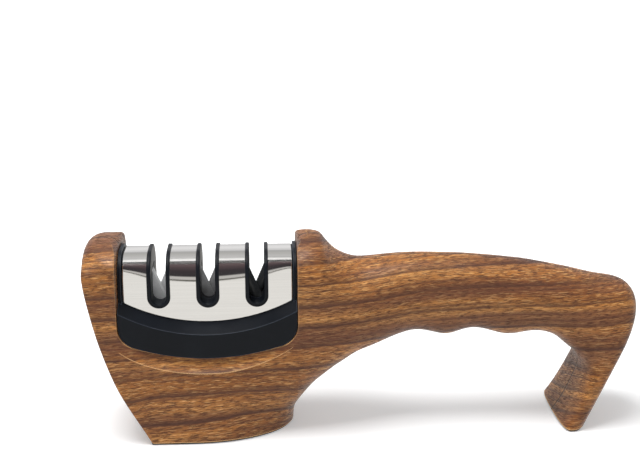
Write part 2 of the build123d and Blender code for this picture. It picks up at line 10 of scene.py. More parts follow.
import bmesh
import bpy
import numpy as np
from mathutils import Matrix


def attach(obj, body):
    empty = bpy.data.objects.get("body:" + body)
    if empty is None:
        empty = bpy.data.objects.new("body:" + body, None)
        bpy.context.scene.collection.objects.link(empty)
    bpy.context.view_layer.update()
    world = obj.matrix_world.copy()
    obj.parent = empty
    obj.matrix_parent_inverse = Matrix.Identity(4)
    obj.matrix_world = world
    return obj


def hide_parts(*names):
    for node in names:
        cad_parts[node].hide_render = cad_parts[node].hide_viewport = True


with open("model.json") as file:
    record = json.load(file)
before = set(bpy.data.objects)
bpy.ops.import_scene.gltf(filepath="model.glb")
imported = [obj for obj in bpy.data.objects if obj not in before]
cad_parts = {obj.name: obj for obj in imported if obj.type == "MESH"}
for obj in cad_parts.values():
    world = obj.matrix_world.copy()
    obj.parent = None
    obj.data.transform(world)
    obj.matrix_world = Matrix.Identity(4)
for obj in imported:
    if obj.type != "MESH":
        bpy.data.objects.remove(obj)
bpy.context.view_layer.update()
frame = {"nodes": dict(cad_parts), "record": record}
MM = 0.001
nodes = frame["nodes"]

# %% [markdown]
# The camera stands in front of the sharpening head and a little above it, turned slightly
# toward the handle. These values came from fitting the object's own corners and feet.

# %% Camera
camera_data = bpy.data.cameras.new("camera")
camera_data.lens, camera_data.sensor_width = 64.69, 36.0
camera_data.clip_start, camera_data.clip_end = 0.01, 20.0
camera = bpy.data.objects.new("camera", camera_data)
camera.location = (-39.75 * MM, -427.0 * MM, 203.8 * MM)
camera.rotation_euler = (math.radians(73.5), 0.0, math.radians(-3.0))
bpy.context.scene.collection.objects.link(camera)
bpy.context.scene.camera = camera
bpy.context.scene.view_settings.view_transform = "Standard"
print("camera at", tuple(round(v, 4) for v in camera.location))

# %% [markdown]
# A small node helper keeps the materials short. `wire` makes one node, sets its plain
# values and links its inputs, so a finish reads as a list of steps.

# %% Node helpers


def wire(tree, kind, inputs=None, **settings):
    """Adds a node. `inputs` maps socket names or numbers to values or to other nodes' outputs."""
    node = tree.nodes.new(kind)
    for name, value in settings.items():
        setattr(node, name, value)
    for key, value in (inputs or {}).items():
        if isinstance(value, bpy.types.NodeSocket):
            tree.links.new(value, node.inputs[key])
        else:
            node.inputs[key].default_value = value
    return node


def ramp(tree, factor, *stops):
    """A colour ramp from (place, colour) stops."""
    node = tree.nodes.new("ShaderNodeValToRGB")
    tree.links.new(factor, node.inputs[0])
    while len(node.color_ramp.elements) < len(stops):
        node.color_ramp.elements.new(0.5)
    for element, (place, colour) in zip(node.color_ramp.elements, stops):
        element.position, element.color = place, (*colour, 1.0)
    return node.outputs["Color"]


def new_material(name):
    """An empty material with its output and one Principled shader, linked together."""
    material = bpy.data.materials.new(name)
    material.use_nodes = True
    tree = material.node_tree
    tree.nodes.clear()
    shader = wire(tree, "ShaderNodeBsdfPrincipled")
    wire(tree, "ShaderNodeOutputMaterial", {"Surface": shader.outputs[0]})
    return material, tree, shader


def group_sockets(group, inputs, outputs):
    """Declares a node group's named inputs and outputs."""
    for name, kind, value in inputs:
        socket = group.interface.new_socket(name=name, in_out="INPUT", socket_type=kind)
        socket.default_value = value
    for name, kind in outputs:
        group.interface.new_socket(name=name, in_out="OUTPUT", socket_type=kind)


# %% [markdown]
# The body is moulded plastic wrapped in a printed wood film. Its growth lines lie nearly level
# and rise slowly to the right. `ring` is the height along them: it leans with the length and
# the depth, wanders with slow noise and shivers a little. A saw-tooth of `ring` gives each line
# a sharp dark edge that fades upwards, and a finer one gives the hairlines between them. Long
# noise makes both come and go and adds dark bands. Glints and short dark fibres lie over all.

# %% Wood film pattern
DEPTH_LEAN, WANDER, SHIVER = 0.30, 0.018, 0.0016
LINES_PER_METRE, HAIRLINES_PER_METRE = 112.0, 370.0
GLINT, BAND, HAIRLINE, LINE, FIBRE = 0.60, 0.66, 0.78, 0.88, 0.82
wood_film = bpy.data.node_groups.new("wood film", "ShaderNodeTree")
group_sockets(
    wood_film,
    [("Slope", "NodeSocketFloat", 0.075), ("Fibre", "NodeSocketFloat", 1.0)],
    [("Colour", "NodeSocketColor"), ("Relief", "NodeSocketFloat"), ("Dark", "NodeSocketFloat")],
)
tree = wood_film
given = wire(tree, "NodeGroupInput")
place = wire(tree, "ShaderNodeTexCoord").outputs["Object"]
split = wire(tree, "ShaderNodeSeparateXYZ", {0: place})


def noise_at(scale, detail=2.0, roughness=0.5, shift=(0.0, 0.0, 0.0), at=None):
    """Noise with a scale for each axis, in cycles per metre, at the object's own place or `at`."""
    point = wire(tree, "ShaderNodeMapping", {0: at or place, "Location": shift, "Scale": scale})
    values = {0: point.outputs[0], "Scale": 1.0, "Detail": detail, "Roughness": roughness}
    return wire(tree, "ShaderNodeTexNoise", values).outputs[0]


def maths(operation, first, second=0.0, third=0.0):
    """One arithmetic step on values or sockets."""
    values = {0: first, 1: second, 2: third}
    return wire(tree, "ShaderNodeMath", values, operation=operation).outputs[0]


def mixed(share, first, second):
    """Blends from the first colour to the second by the share."""
    values = {"Factor": share, 6: first, 7: second}
    return wire(tree, "ShaderNodeMix", values, data_type="RGBA").outputs[2]


def grey_ramp(factor, *stops):
    """A ramp from (place, value) stops in plain grey, used as a share."""
    return ramp(tree, factor, *[(spot, (value, value, value)) for spot, value in stops])


lean = maths("MULTIPLY", split.outputs[0], given.outputs["Slope"])
level = maths("MULTIPLY_ADD", split.outputs[1], DEPTH_LEAN, maths("SUBTRACT", split.outputs[2], lean))
slow_noise = noise_at((7.0, 9.0, 16.0), shift=(2.0, 0.0, 7.0))
wander = maths("MULTIPLY_ADD", slow_noise, WANDER, -WANDER / 2)
shiver = maths("MULTIPLY_ADD", noise_at((70.0, 70.0, 60.0)), SHIVER, -SHIVER / 2)
ring = maths("ADD", maths("ADD", level, wander), shiver)
ring_parts = {0: split.outputs[0], 1: split.outputs[1], 2: ring}
ring_place = wire(tree, "ShaderNodeCombineXYZ", ring_parts).outputs[0]
saw = maths("FRACT", maths("MULTIPLY_ADD", ring, LINES_PER_METRE, 0.35))
fine_saw = maths("FRACT", maths("MULTIPLY", ring, HAIRLINES_PER_METRE))
lines = grey_ramp(
    saw, (0.0, 1.0), (0.06, 0.85), (0.14, 0.45), (0.32, 0.14), (0.60, 0.0), (0.92, 0.05), (1.0, 1.0)
)
fine_lines = grey_ramp(fine_saw, (0.0, 0.9), (0.30, 0.25), (0.55, 0.0), (0.85, 0.0), (1.0, 0.9))
line_noise = noise_at((11.0, 11.0, 130.0), at=ring_place, shift=(1.0, 2.0, 3.0))
come_and_go = grey_ramp(line_noise, (0.34, 0.50), (0.56, 1.0))
hair_noise = noise_at((14.0, 14.0, 210.0), at=ring_place, shift=(5.0, 0.0, 1.0))
fine_come = grey_ramp(hair_noise, (0.38, 0.0), (0.56, 1.0))
band_noise = noise_at((5.0, 8.0, 95.0), at=ring_place, shift=(4.0, 1.0, 6.0))
bands = grey_ramp(band_noise, (0.46, 0.0), (0.62, 1.0))
fibre_noise = noise_at((330.0, 330.0, 3300.0), 3.0, 0.65, at=ring_place)
fibres = grey_ramp(fibre_noise, (0.49, 0.0), (0.575, 1.0))
glint_noise = noise_at((260.0, 260.0, 3000.0), at=ring_place, shift=(3.0, 3.0, 3.0))
glints = grey_ramp(glint_noise, (0.54, 0.0), (0.64, 1.0))
dark_share = maths("MULTIPLY", lines, come_and_go)
fine_share = maths("MULTIPLY", fine_lines, fine_come)
fibre_share = maths("MULTIPLY", fibres, given.outputs["Fibre"])
ground = ramp(
    tree, noise_at((9.0, 9.0, 80.0), at=ring_place, shift=(9.0, 4.0, 1.0)),
    (0.30, (0.275, 0.094, 0.019)), (0.50, (0.400, 0.152, 0.033)), (0.70, (0.560, 0.245, 0.064)),
)
colour = mixed(maths("MULTIPLY", glints, GLINT), ground, (0.90, 0.50, 0.18, 1.0))
colour = mixed(maths("MULTIPLY", bands, BAND), colour, (0.125, 0.042, 0.026, 1.0))
colour = mixed(maths("MULTIPLY", fine_share, HAIRLINE), colour, (0.100, 0.034, 0.018, 1.0))
colour = mixed(maths("MULTIPLY", dark_share, LINE), colour, (0.062, 0.021, 0.014, 1.0))
colour = mixed(maths("MULTIPLY", fibre_share, FIBRE), colour, (0.070, 0.023, 0.009, 1.0))
wire(tree, "NodeGroupOutput", {"Colour": colour, "Relief": fibre_share, "Dark": dark_share})
print("wood film group:", len(tree.nodes), "nodes")

# %% [markdown]
# Two small masks serve several finishes. The edge mask compares the plain normal with one that
# is rounded over part of a millimetre: they differ only near an edge, where a moulding
# catches the light. The seam mask is a thin strip at the plane where the two halves meet.

# %% Edge and seam masks


def edge_mask(tree, radius, low=0.01, high=0.12):
    """One minus the dot product of the rounded and the plain normal, stretched to 0..1."""
    rounded = wire(tree, "ShaderNodeBevel", {"Radius": radius * MM}, samples=8)
    plain = wire(tree, "ShaderNodeNewGeometry")
    normals = {0: rounded.outputs[0], 1: plain.outputs["Normal"]}
    same = wire(tree, "ShaderNodeVectorMath", normals, operation="DOT_PRODUCT")
    away = wire(tree, "ShaderNodeMath", {0: 1.0, 1: same.outputs["Value"]}, operation="SUBTRACT")
    mask = wire(tree, "ShaderNodeMapRange", {0: away.outputs[0], 1: low, 2: high})
    return mask.outputs[0], rounded.outputs[0]


def seam_mask(tree, half=0.30, soft=0.20):
    """One within `half` of the seam plane and zero beyond the soft border."""
    split = wire(tree, "ShaderNodeSeparateXYZ", {0: wire(tree, "ShaderNodeTexCoord").outputs["Object"]})
    away = wire(tree, "ShaderNodeMath", {0: split.outputs[1]}, operation="ABSOLUTE")
    border = {0: away.outputs[0], 1: half * MM, 2: (half + soft) * MM, 3: 1.0, 4: 0.0}
    return wire(tree, "ShaderNodeMapRange", border).outputs[0]


# %% [markdown]
# A satin skin lies over the film. The fibres press through it as a very shallow relief. A painted
# highlight lightens the edges, below the grip more than above it, and the seam is a dark line.

# %% Wood film material
# Heights over which the painted edge highlight fades, from strong below to weak above.
HIGHLIGHT_LOW, HIGHLIGHT_HIGH = 36.0 * MM, 44.0 * MM
wood, tree, shader = new_material("wood_film")
film = wire(tree, "ShaderNodeGroup", node_tree=wood_film)
gloss = wire(tree, "ShaderNodeMapRange", {0: film.outputs["Relief"], 3: 0.34, 4: 0.55})
rounded = wire(tree, "ShaderNodeBevel", {"Radius": 0.9 * MM}, samples=8).outputs[0]
edge = edge_mask(tree, 0.7, 0.008, 0.05)[0]
place = wire(tree, "ShaderNodeTexCoord").outputs["Object"]
height = wire(tree, "ShaderNodeSeparateXYZ", {0: place}).outputs[2]
highlight_range = {0: height, 1: HIGHLIGHT_LOW, 2: HIGHLIGHT_HIGH, 3: 0.95, 4: 0.22}
highlight_fade = wire(tree, "ShaderNodeMapRange", highlight_range).outputs[0]
relief = wire(
    tree, "ShaderNodeBump",
    {"Strength": 0.35, "Distance": 0.10 * MM, "Height": film.outputs["Relief"], "Normal": rounded},
    invert=True,
)
# Painted highlight: near edges the film is mixed toward a pale orange.
highlight_share = maths("MULTIPLY", edge, highlight_fade)
edge_highlight = mixed(highlight_share, film.outputs["Colour"], (0.90, 0.52, 0.22, 1.0))
seamed = mixed(maths("MULTIPLY", seam_mask(tree), 0.9), edge_highlight, (0.030, 0.014, 0.010, 1.0))
tree.links.new(seamed, shader.inputs["Base Color"])
tree.links.new(gloss.outputs[0], shader.inputs["Roughness"])
tree.links.new(relief.outputs[0], shader.inputs["Normal"])
shader.inputs["Specular IOR Level"].default_value = 0.28
shader.inputs["Coat Weight"].default_value = 0.06
shader.inputs["Coat Roughness"].default_value = 0.28

# %% [markdown]
# The cartridge, rails and slot guides are black plastic with a faint blue cast. A fine mould
# texture breaks the gloss, slow noise keeps the sheen uneven, and edges get a painted highlight.

# %% Moulded surface pattern
# Colour of the painted edge highlight: the plain colour scaled by the first number and raised by the
# second.
HIGHLIGHT_GAIN, HIGHLIGHT_LIFT = 5.5, 0.02
moulded = bpy.data.node_groups.new("moulded surface", "ShaderNodeTree")
group_sockets(
    moulded,
    [
        ("Grain per metre", "NodeSocketFloat", 2600.0),
        ("Dull", "NodeSocketFloat", 0.30),
        ("Spread", "NodeSocketFloat", 0.10),
    ],
    [("Roughness", "NodeSocketFloat"), ("Grain", "NodeSocketFloat"), ("Shade", "NodeSocketFloat")],
)
tree = moulded
given = wire(tree, "NodeGroupInput")
place = wire(tree, "ShaderNodeTexCoord").outputs["Object"]
grain_size = given.outputs["Grain per metre"]
grain = wire(tree, "ShaderNodeTexNoise", {0: place, "Scale": grain_size, "Detail": 3.0})
clouds = wire(tree, "ShaderNodeTexNoise", {0: place, "Scale": 70.0, "Detail": 3.0})
spread = maths("MULTIPLY", clouds.outputs[0], given.outputs["Spread"])
rough = maths("ADD", spread, given.outputs["Dull"])
shade = wire(tree, "ShaderNodeMapRange", {0: clouds.outputs[0], 1: 0.3, 2: 0.7, 3: 0.85, 4: 1.15})
wire(
    tree, "NodeGroupOutput",
    {"Roughness": rough, "Grain": grain.outputs[0], "Shade": shade.outputs[0]},
)


def moulded_material(
    name, colour, dull, spread, grain_size, grain_depth, edge=0.35, edge_highlight=0.0, low=0.01, high=0.12
):
    """Plastic, rubber or metal: mould or grinding grain, softly rounded edges, painted edge highlight."""
    material, tree, shader = new_material(name)
    skin = wire(tree, "ShaderNodeGroup", node_tree=moulded)
    skin.inputs["Grain per metre"].default_value = grain_size
    skin.inputs["Dull"].default_value = dull
    skin.inputs["Spread"].default_value = spread
    tint = wire(
        tree, "ShaderNodeVectorMath", {0: colour, "Scale": skin.outputs["Shade"]}, operation="SCALE"
    )
    mask, rounded = edge_mask(tree, edge, low, high)
    pressed = {"Distance": grain_depth * MM, "Height": skin.outputs["Grain"], "Normal": rounded}
    bump = wire(tree, "ShaderNodeBump", {"Strength": 0.2, **pressed})
    # Painted highlight: near edges the colour is mixed toward a lighter one by this share.
    share = wire(tree, "ShaderNodeMath", {0: mask, 1: edge_highlight}, operation="MULTIPLY")
    highlight_colour = tuple(HIGHLIGHT_GAIN * c + HIGHLIGHT_LIFT for c in colour)
    coats = {"Factor": share.outputs[0], 6: tint.outputs[0], 7: (*highlight_colour, 1.0)}
    paint = wire(tree, "ShaderNodeMix", coats, data_type="RGBA")
    tree.links.new(paint.outputs[2], shader.inputs["Base Color"])
    tree.links.new(skin.outputs["Roughness"], shader.inputs["Roughness"])
    tree.links.new(bump.outputs[0], shader.inputs["Normal"])
    return material, tree, shader


# The black plastic carries a painted highlight on its edges, at a share of 0.9.
black, tree, shader = moulded_material(
    "black_plastic", (0.0045, 0.0062, 0.0095), 0.30, 0.10, 2600.0, 0.03,
    edge=0.4, edge_highlight=0.9, low=0.003, high=0.03,
)
shader.inputs["Specular IOR Level"].default_value = 0.17
inner, tree, shader = moulded_material("inner_plastic", (0.0085, 0.0090, 0.0105), 0.42, 0.10, 2200.0, 0.04)
shader.inputs["Specular IOR Level"].default_value = 0.25
rubber, tree, shader = moulded_material(
    "foot_rubber", (0.014, 0.013, 0.013), 0.62, 0.12, 1500.0, 0.08, edge=0.3
)
zinc, tree, shader = moulded_material(
    "screw_steel", (0.56, 0.56, 0.57), 0.28, 0.15, 3000.0, 0.02, edge=0.2
)
shader.inputs["Metallic"].default_value = 1.0
print("plastic, rubber and screw finishes made")

# %% [markdown]
# The cover is polished steel and mirrors the studio. Only long, nearly invisible polishing
# lines along the length and a little haze keep it from being a perfect mirror.

# %% Polished cover and sharpening elements
steel, tree, shader = new_material("polished_steel")
place = wire(tree, "ShaderNodeTexCoord").outputs["Object"]
lines_at = wire(tree, "ShaderNodeMapping", {0: place, "Scale": (25.0, 1900.0, 1900.0)})
polish = wire(tree, "ShaderNodeTexNoise", {0: lines_at.outputs[0], "Scale": 1.0, "Detail": 2.0})
haze = wire(tree, "ShaderNodeMapRange", {0: polish.outputs[0], 3: 0.035, 4: 0.075})
tone = ramp(tree, polish.outputs[0], (0.3, (0.80, 0.785, 0.765)), (0.7, (0.84, 0.825, 0.805)))
tree.links.new(tone, shader.inputs["Base Color"])
tree.links.new(haze.outputs[0], shader.inputs["Roughness"])
edge_normal = wire(tree, "ShaderNodeBevel", {"Radius": 0.25 * MM}, samples=6)
tree.links.new(edge_normal.outputs[0], shader.inputs["Normal"])
shader.inputs["Metallic"].default_value = 1.0


def ground_material(name, colour, dull, metallic, line_scale, depth):
    """Ground metal or ceramic: fine lines across the element, in its own direction."""
    material, tree, shader = new_material(name)
    place = wire(tree, "ShaderNodeTexCoord").outputs["Object"]
    at = wire(tree, "ShaderNodeMapping", {0: place, "Scale": line_scale})
    cuts = wire(tree, "ShaderNodeTexNoise", {0: at.outputs[0], "Scale": 1.0, "Detail": 3.0})
    light = tuple(min(c * 1.18, 0.95) for c in colour)
    dark = tuple(c * 0.80 for c in colour)
    tint = ramp(tree, cuts.outputs[0], (0.3, dark), (0.7, light))
    rough = wire(tree, "ShaderNodeMapRange", {0: cuts.outputs[0], 3: dull - 0.07, 4: dull + 0.07})
    edge_normal = wire(tree, "ShaderNodeBevel", {"Radius": 0.12 * MM}, samples=6).outputs[0]
    pressed = {"Distance": depth * MM, "Height": cuts.outputs[0], "Normal": edge_normal}
    bump = wire(tree, "ShaderNodeBump", {"Strength": 0.3, **pressed})
    tree.links.new(tint, shader.inputs["Base Color"])
    tree.links.new(rough.outputs[0], shader.inputs["Roughness"])
    tree.links.new(bump.outputs[0], shader.inputs["Normal"])
    shader.inputs["Metallic"].default_value = metallic
    return material


ground_steel = ground_material("ground_steel", (0.97, 0.97, 0.98), 0.40, 0.05, (300.0, 4200.0, 300.0), 0.02)
carbide = ground_material("carbide", (0.40, 0.40, 0.405), 0.38, 0.3, (300.0, 4200.0, 300.0), 0.02)
ceramic = ground_material("ceramic", (0.042, 0.044, 0.046), 0.34, 0.0, (1800.0, 1800.0, 1800.0), 0.01)

slot_finish = {
    "wood_print": wood, "black_plastic": black, "inner_plastic": inner, "foot_rubber": rubber,
    "screw_steel": zinc, "polished_steel": steel, "ground_steel": ground_steel, "carbide": carbide,
    "ceramic": ceramic,
}


def finish_with(piece, material):
    """Gives a piece or a CAD node one material."""
    piece.data.materials.clear()
    piece.data.materials.append(material)


for part in frame["record"]["subparts"]:
    finish_with(nodes[part["node"]], slot_finish[part["material_slot"]])

# %% [markdown]
# A mesh here starts as a grid of points worked out with numpy. `closed_shell` joins the rows
# into faces. The columns always run round an outline. The rows close into a ring, or their
# first and last get a cap, so each piece is a closed shell whose faces point outwards.

# %% Mesh helpers
REACH, ROOF = 40.0, 100.0


def closed_shell(name, points, loop_rows=False):
    """Mesh from points[row, column, xyz] in millimetres. Columns run round a closed outline.

    Row i meets row i + 1 in four-sided faces. Open rows end in a flat cap made of one face.
    """
    rows, columns = points.shape[:2]
    row = np.arange(rows if loop_rows else rows - 1)
    here = row[:, None] * columns + np.arange(columns)[None, :]
    after = ((row + 1) % rows)[:, None] * columns + np.arange(columns)[None, :]
    quads = np.stack(
        [here, np.roll(here, -1, axis=1), np.roll(after, -1, axis=1), after], axis=-1
    ).reshape(-1, 4)
    faces = quads.tolist()
    if not loop_rows:
        faces.append(list(range(columns - 1, -1, -1)))
        faces.append(list(range((rows - 1) * columns, rows * columns)))
    mesh = bpy.data.meshes.new(name)
    mesh.from_pydata((points.reshape(-1, 3) * MM).tolist(), [], faces)
    shell = bmesh.new()
    shell.from_mesh(mesh)
    bmesh.ops.remove_doubles(shell, verts=shell.verts, dist=1e-7)
    bmesh.ops.recalc_face_normals(shell, faces=shell.faces)
    shell.to_mesh(mesh)
    shell.free()
    return mesh


def add_object(name, mesh):
    """Links a mesh to the scene as an object at the origin."""
    piece = bpy.data.objects.new(name, mesh)
    bpy.context.scene.collection.objects.link(piece)
    return piece


def combine(piece, tool_mesh, operation):
    """Cuts, joins or keeps the common part of a piece and a tool, and stores the result as its mesh."""
    tool = add_object("tool", tool_mesh)
    modifier = piece.modifiers.new("combine", "BOOLEAN")
    modifier.object, modifier.operation, modifier.solver = tool, operation, "MANIFOLD"
    bpy.context.view_layer.update()
    seen = piece.evaluated_get(bpy.context.evaluated_depsgraph_get())
    mesh = bpy.data.meshes.new_from_object(seen)
    piece.modifiers.clear()
    piece.data = mesh
    bpy.data.objects.remove(tool)
    return piece


def smooth(piece, sharp_degrees):
    """Smooth shading that breaks at edges sharper than the given angle."""
    mesh = piece.data
    mesh.polygons.foreach_set("use_smooth", np.ones(len(mesh.polygons), bool))
    mesh.set_sharp_from_angle(angle=math.radians(sharp_degrees))
    return piece


def prism(name, outline, low_y=-REACH, high_y=REACH):
    """Solid between two depths: an XZ outline (closed, in millimetres) carried along Y."""
    flat = np.stack([outline[:, 0], np.zeros(len(outline)), outline[:, 1]], axis=-1)
    points = np.stack([flat + (0, low_y, 0), flat + (0, high_y, 0)])
    return closed_shell(name, points)


def arc(centre, radius, start, end, count):
    """Points on a circle from one angle to another, in degrees from +X toward +Z."""
    angle = np.radians(np.linspace(start, end, count))
    return np.stack([centre[0] + radius * np.cos(angle), centre[1] + radius * np.sin(angle)], axis=-1)


# %% [markdown]
# The housing is one flowing form: a base that fans up round its nose, an arched grip with
# finger bumps, and a heel that turns down into a leg. It is carried along a path of stations.
# Each station is a closed outline in its own plane: a rounded quarter, a straight side, and
# another rounded quarter, mirrored in front and behind. Between stations every value of the
# outline is joined by a smooth curve, so the surface has no kinks where two stations meet.

# %% Stations of the housing
LENGTH, HEIGHT = 216.0, 78.4
BASE_WIDTH, HORN_WIDTH, GRIP_WIDTH, FOOT_WIDTH = 45.4, 40.8, 25.0, 39.5
PAD = 0.9
# Each row: X over the length, bottom and top over the height, then swell, belly and flare.
grip_shares = np.array([
    (-0.125, 0.108, 0.9915, 1.00, 0.574, 1.00), (-0.088, 0.230, 0.9925, 0.98, 0.546, 0.60),
    (-0.080, 0.249, 0.983, 0.97, 0.530, 0.50), (-0.072, 0.268, 0.958, 0.95, 0.515, 0.40),
    (-0.056, 0.305, 0.909, 0.89, 0.505, 0.25), (-0.039, 0.337, 0.880, 0.81, 0.500, 0.10),
    (-0.019, 0.374, 0.862, 0.68, 0.500, 0.00), (0.009, 0.406, 0.862, 0.49, 0.500, 0.00),
    (0.042, 0.444, 0.872, 0.28, 0.500, 0.00), (0.069, 0.472, 0.878, 0.13, 0.500, 0.00),
    (0.093, 0.485, 0.880, 0.05, 0.500, 0.00), (0.123, 0.473, 0.879, 0.01, 0.500, 0.00),
    (0.153, 0.460, 0.876, 0.00, 0.500, 0.00), (0.181, 0.482, 0.872, 0.00, 0.500, 0.00),
    (0.204, 0.490, 0.866, 0.01, 0.500, 0.00), (0.234, 0.472, 0.858, 0.03, 0.500, 0.00),
    (0.264, 0.454, 0.848, 0.07, 0.500, 0.00), (0.292, 0.464, 0.837, 0.14, 0.500, 0.00),
    (0.317, 0.472, 0.823, 0.22, 0.500, 0.00), (0.343, 0.458, 0.8075, 0.32, 0.500, 0.00),
])
# Each row: X and Z of the inner point, X and Z of the outer point, then swell and belly.
heel_shares = np.array([
    (0.366, 0.416, 0.389, 0.779, 0.42, 0.48), (0.384, 0.374, 0.435, 0.749, 0.52, 0.45),
    (0.396, 0.339, 0.481, 0.716, 0.61, 0.42), (0.403, 0.306, 0.4980, 0.657, 0.68, 0.39),
    (0.403, 0.268, 0.4980, 0.561, 0.74, 0.36), (0.396, 0.210, 0.481, 0.427, 0.81, 0.33),
    (0.384, 0.128, 0.452, 0.249, 0.89, 0.30), (0.372, 0.064, 0.433, 0.128, 0.94, 0.28),
    (0.360, PAD / HEIGHT, 0.415, PAD / HEIGHT, 1.00, 0.26),
])


def steady(places, values, at):
    """Cubic curve through values at places, with slopes that never overshoot between them.

    At each inner place the slope is the weighted harmonic mean of the two neighbouring
    steps, and zero where they turn. Whole columns of values are joined at once.
    """
    gap = np.diff(places)[:, None]
    step = np.diff(values, axis=0) / gap
    same = step[:-1] * step[1:] > 0
    weight = (gap[:-1] + 2 * gap[1:], 2 * gap[:-1] + gap[1:])
    with np.errstate(divide="ignore", invalid="ignore"):
        mean = (weight[0] + weight[1]) / (weight[0] / step[:-1] + weight[1] / step[1:])
    slope = np.concatenate([step[:1], np.where(same, mean, 0.0), step[-1:]])
    index = np.clip(np.searchsorted(places, at) - 1, 0, len(places) - 2)
    width = gap[index]
    t = (at[:, None] - places[index][:, None]) / width
    start, end = values[index], values[index + 1]
    return (
        (1 + 2 * t) * (1 - t) ** 2 * start + t * (1 - t) ** 2 * width * slope[index]
        + t**2 * (3 - 2 * t) * end + t**2 * (t - 1) * width * slope[index + 1]
    )


def flowing(places, values, at):
    """Cubic curve through values at places whose bending has no jumps (a natural spline)."""
    gap = np.diff(places)
    count = len(places)
    system = np.eye(count)
    load = np.zeros((count, values.shape[1]))
    inner = np.arange(1, count - 1)
    system[inner, inner - 1] = gap[:-1]
    system[inner, inner] = 2 * (gap[:-1] + gap[1:])
    system[inner, inner + 1] = gap[1:]
    step = np.diff(values, axis=0) / gap[:, None]
    load[1:-1] = 6 * (step[1:] - step[:-1])
    bend = np.linalg.solve(system, load)
    index = np.clip(np.searchsorted(places, at) - 1, 0, count - 2)
    width = gap[index][:, None]
    left = (places[index + 1] - at)[:, None]
    right = (at - places[index])[:, None]
    return (
        bend[index] * left**3 / (6 * width) + bend[index + 1] * right**3 / (6 * width)
        + (values[index] / width - bend[index] * width / 6) * left
        + (values[index + 1] / width - bend[index + 1] * width / 6) * right
    )


# %% [markdown]
# The outline at the head's end is measured as one contour: up the raked end face, round a
# corner of a few millimetres and along the top. The fan's rays end on that contour, so the end
# face, its corner and the crowned top come out as one smooth surface without any cutting.

# %% Fan of the base
END_CORNER, HORN_ROOF = 5.5, 77.4
face_places = np.array([0.0, 0.34, 0.655, 0.85, (HORN_ROOF - END_CORNER) / HEIGHT]) * HEIGHT
face_x = np.array([[-0.3885], [-0.4530], [-0.4865], [-0.4985], [-0.5]]) * LENGTH
face_z = np.linspace(PAD, HORN_ROOF - END_CORNER, 90)
face = np.stack([steady(face_places, face_x, face_z)[:, 0], face_z], axis=-1)
corner = arc((face[-1, 0] + END_CORNER, HORN_ROOF - END_CORNER), END_CORNER, 180.0, 90.0, 40)
top_x = np.linspace(corner[-1, 0], -0.125 * LENGTH, 60)
top_rise = (0.9915 * HEIGHT - HORN_ROOF) * (top_x - top_x[0]) / (top_x[-1] - top_x[0])
top = np.stack([top_x, HORN_ROOF + top_rise], axis=-1)
contour = np.concatenate([face, corner[1:], top[1:]])
nose_z = np.array([PAD, 2.8, 4.7, 6.3, 0.108 * HEIGHT])
nose_x = np.array([-0.1305, -0.1300, -0.1290, -0.1278, -0.125]) * LENGTH
# The outer quarter of a section: its length on the end face, the top and the grip, in
# millimetres, and how full its curve is. It changes over the climb from CLIMB_FROM upwards.
ROUND_FACE, ROUND_TOP, ROUND_GRIP = 2.2, 12.5, 16.0
FULL_FACE, FULL_TOP, FULL_GRIP = 0.88, 0.62, 0.60
CLIMB_FROM, CLIMB_OVER, STEEPEST = 67.0, 10.4, 0.90
# The inner quarter at the nose and beside the grip, and the part of the fan that joins them.
NOSE_QUARTER, GRIP_QUARTER = 38.0, 0.574 * 69.7
JOIN_FROM, JOIN_OVER = 0.78, 0.22


def section_columns(inner, outer, half_in, half_out, in_length, out_length, full_in, full_out):
    """One row of station values for each place along the path."""
    return np.column_stack([inner, outer, half_in, half_out, in_length, out_length, full_in, full_out])


def width_at(z):
    """Half-width of the base and horns, which narrow evenly from the foot to the top."""
    return (BASE_WIDTH + (HORN_WIDTH - BASE_WIDTH) * z / HEIGHT) / 2


def eased(t):
    """Share from 0 to 1 that starts and ends level: t squared times (3 - 2 t)."""
    return t * t * (3 - 2 * t)


def base_rows(inset):
    """Fan of outlines from the foot plane up to the horn beside the grip."""
    lengths = np.r_[0, np.cumsum(np.hypot(*np.diff(contour, axis=0).T))]
    share = lengths / lengths[-1]
    nose_share = np.linspace(0, 1, len(nose_z))
    inner = np.stack(
        [np.interp(share, nose_share, nose_x), np.interp(share, nose_share, nose_z)], axis=-1
    )
    ray = contour - inner
    span = np.hypot(*ray.T)[:, None]
    inner, outer = inner + ray / span * inset, contour - ray / span * inset
    climb = eased(np.clip((contour[:, 1] - CLIMB_FROM) / CLIMB_OVER, 0, 1))
    rise = np.abs(ray[:, 1]) / span[:, 0]
    out_length = (1 - climb) * ROUND_FACE + climb * ROUND_TOP / np.maximum(rise, STEEPEST)
    full_out = (1 - climb) * FULL_FACE + climb * FULL_TOP
    join = eased(np.clip((share - JOIN_FROM) / JOIN_OVER, 0, 1))
    out_length = out_length + join * (ROUND_GRIP - out_length)
    full_out = full_out + join * (FULL_GRIP - full_out)
    in_length = NOSE_QUARTER + join * (GRIP_QUARTER - NOSE_QUARTER)
    full_in = 0.55 + join * 0.05
    return section_columns(
        inner, outer, width_at(inner[:, 1]) - inset, width_at(outer[:, 1]) - inset,
        in_length, out_length, full_in, full_out,
    )


def grip_rows(inset):
    """Upright outlines along the grip, with the finger bumps below."""
    x, bottom, top, swell, belly, flare = grip_shares.T
    inner = np.stack([x * LENGTH, bottom * HEIGHT + inset], axis=-1)
    outer = np.stack([x * LENGTH, top * HEIGHT - inset], axis=-1)
    wide = np.where(x < 0.153, HORN_WIDTH, FOOT_WIDTH) - GRIP_WIDTH
    half = (GRIP_WIDTH + wide * swell) / 2 - inset
    span = outer[:, 1] - inner[:, 1]
    crown = span * (1 - belly - 0.04)
    horn_crown = np.interp(x, (-0.125, -0.088, -0.039), (ROUND_GRIP, 17.0, 18.8))
    crown = np.where(x < 0.0, np.minimum(crown, horn_crown), crown)
    full = np.full(len(x), FULL_GRIP)
    low_half = half + flare * (width_at(inner[:, 1]) - inset - half)
    return section_columns(inner, outer, low_half, half, span * belly, crown, full, full)


